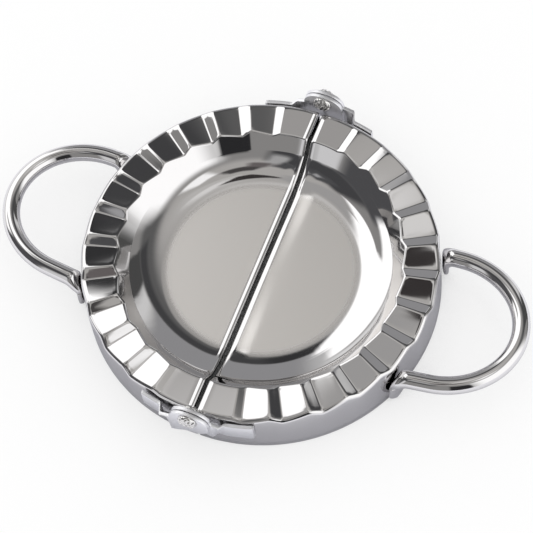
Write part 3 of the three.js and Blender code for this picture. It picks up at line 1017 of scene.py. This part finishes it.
def panel_share(nodes, azimuth, elevation, panel):
    """How much of a ray's colour a panel gives, from 0 to 1. Panels that reach LOWEST, ZENITH
    or all round have no edge there."""
    masks = []
    if panel.right - panel.left < FULL_TURN:
        aside = nodes.op("SUBTRACT", azimuth, (panel.left + panel.right) / 2)
        if panel.lean:
            above = nodes.op("SUBTRACT", elevation, (panel.low + panel.high) / 2)
            aside = nodes.op("SUBTRACT", aside, nodes.op("MULTIPLY", above, panel.lean))
        aside = nodes.op("WRAP", aside, FULL_TURN / 2, -FULL_TURN / 2)
        half = (panel.right - panel.left) / 2
        off_middle = nodes.op("ABSOLUTE", aside)
        masks.append(nodes.fade(off_middle, half + panel.side_edge, half - panel.side_edge))
    if panel.low > LOWEST:
        edge = panel.end_edge
        masks.append(nodes.fade(elevation, panel.low - edge, panel.low + edge))
    if panel.high < ZENITH:
        edge = panel.end_edge
        masks.append(nodes.fade(elevation, panel.high + edge, panel.high - edge))
    share = masks[0]
    for mask in masks[1:]:
        share = nodes.op("MULTIPLY", share, mask)
    return share


def studio_world():
    """White for every ray but those that metal mirrors, which see the studio."""
    world = bpy.data.worlds.new("studio")
    bpy.context.scene.world = world
    world.use_nodes = True
    world.node_tree.nodes.clear()
    nodes = Nodes(world.node_tree)
    x, y, z = nodes.split(nodes.place("Generated"))
    azimuth = nodes.op("DEGREES", nodes.op("ARCTAN2", x, y))
    elevation = nodes.op("DEGREES", nodes.op("ARCSINE", z))
    colour = WALLS
    for panel in PANELS:
        share = panel_share(nodes, azimuth, elevation, panel)
        colour = nodes.cover(share, colour, panel.colour)
    paths = nodes.new("LightPath")
    colour = nodes.cover(paths.outputs["Is Glossy Ray"], WHITE, colour)
    background = nodes.new("Background")
    nodes.feed(background.inputs["Color"], colour)
    output = nodes.new("OutputWorld")
    nodes.feed(output.inputs["Surface"], background.outputs["Background"])


def floor():
    """A white floor under the mould that keeps its soft shadow, deepened by painted shade where
    the mould covers the sky. The metal mirrors a cooler painted copy of it, dimmed near the mould.
    """
    material = bpy.data.materials.new("white floor")
    material.use_nodes = True
    nodes = Nodes(material.node_tree)
    shader = material.node_tree.nodes["Principled BSDF"]
    nodes.feed(shader.inputs["Roughness"], 1.0)
    nodes.feed(shader.inputs["Specular IOR Level"], 0.0)
    nodes.feed(shader.inputs["Emission Color"], WHITE)
    sky = nodes.new("AmbientOcclusion")
    sky.samples = SHADE_SAMPLES
    nodes.feed(sky.inputs["Distance"], SHADE_REACH * MM)
    # Painted shade: the floor's colour and glow drop where the mould covers the sky
    uncovered = nodes.fade(sky.outputs["AO"], *COVERED_SKY)
    in_the_open = nodes.fade(sky.outputs["AO"], *OPEN_SKY)
    rays = nodes.new("LightPath").outputs
    # The metal mirrors a cooler painted copy of the floor's colour
    colour = nodes.cover(rays["Is Glossy Ray"], FLOOR_COLOUR, MIRRORED_FLOOR_COLOUR)
    colour = nodes.cover(uncovered, SHADED_FLOOR_COLOUR, colour)
    nodes.feed(shader.inputs["Base Color"], colour)
    seen = nodes.op("MAXIMUM", rays["Is Camera Ray"], rays["Is Transmission Ray"])
    seen = nodes.op("MULTIPLY", seen, uncovered)
    # The glow that the metal mirrors fades near the mould: painted shade in the reflections
    mirrored = nodes.op("MULTIPLY", rays["Is Glossy Ray"], in_the_open)
    seen_glow = nodes.op("MULTIPLY", seen, FLOOR_GLOW)
    mirrored_glow = nodes.op("MULTIPLY", mirrored, MIRRORED_FLOOR_GLOW)
    glow = nodes.op("MAXIMUM", seen_glow, mirrored_glow)
    nodes.feed(shader.inputs["Emission Strength"], glow)
    half = FLOOR_HALF_WIDTH
    points = [(-half, -half, 0), (half, -half, 0), (half, half, 0), (-half, half, 0)]
    piece = mesh_piece("floor", points, [(0, 1, 2, 3)], material)
    piece.location.z = -FLOOR_DROP * MM


def camera():
    data = bpy.data.cameras.new("camera")
    eye = bpy.data.objects.new("camera", data)
    bpy.context.scene.collection.objects.link(eye)
    back = Vector((
        math.sin(CAMERA_AZIMUTH) * math.cos(CAMERA_ELEVATION),
        -math.cos(CAMERA_AZIMUTH) * math.cos(CAMERA_ELEVATION),
        math.sin(CAMERA_ELEVATION),
    ))
    level = Vector((math.cos(CAMERA_AZIMUTH), math.sin(CAMERA_AZIMUTH), 0))
    above = back.cross(level)
    right = level * math.cos(CAMERA_ROLL) + above * math.sin(CAMERA_ROLL)
    up = above * math.cos(CAMERA_ROLL) - level * math.sin(CAMERA_ROLL)
    turn = Matrix((right, up, back)).transposed().to_4x4()
    place = (Vector((0, 0, RIM_HEIGHT)) + back * CAMERA_DISTANCE) * MM
    eye.matrix_world = Matrix.Translation(place) @ turn
    data.lens = CAMERA_LENS
    data.sensor_width = SENSOR_WIDTH
    data.shift_x = (PHOTO_CENTRE - RIM_CENTRE_PIXEL[0]) / PHOTO_SIZE
    data.shift_y = (RIM_CENTRE_PIXEL[1] - PHOTO_CENTRE) / PHOTO_SIZE
    data.clip_start = CLIP_NEAR
    data.clip_end = CLIP_FAR
    bpy.context.scene.camera = eye


# Assembly
def dress():
    mirror = mould_steel()
    rod_steel = plain_steel("handle steel", MIRROR_STEEL, ROD_ROUGHNESS)
    leaf_steel = grained_steel("leaf steel", LEAF_STEEL, LEAF_ROUGHNESS)
    rivet_steel = plain_steel("rivet steel", RIVET_STEEL, RIVET_ROUGHNESS)
    for side, side_x in (("left", -1), ("right", 1)):
        body = f"{side}_side"
        shell = mould_half(f"{side}_stamped_half", side, mirror)
        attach(shell, body)
        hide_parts(f"{side}_mould_half")
        grip = handle(f"{side}_rod_handle", side, rod_steel)
        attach(grip, body)
        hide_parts(f"{side}_handle")
        outer_end, inner_end = ("front", "rear") if side == "left" else ("rear", "front")
        for end, shape in ((outer_end, OUTER_LEAF), (inner_end, INNER_LEAF)):
            side_y = 1 if end == "rear" else -1
            leaf = hinge_leaf(f"{side}_{end}_leaf", shape, side_x, side_y, leaf_steel)
            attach(leaf, body)
            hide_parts(f"{side}_{end}_hinge_leaf")
    for end, side_y in (("front", -1), ("rear", 1)):
        pin = rivet(f"{end}_peened_rivet", side_y, rivet_steel)
        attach(pin, "right_side")
        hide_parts(f"{end}_rivet")


bpy.context.scene.view_settings.view_transform = "Standard"
camera()
studio_world()
floor()
dress()
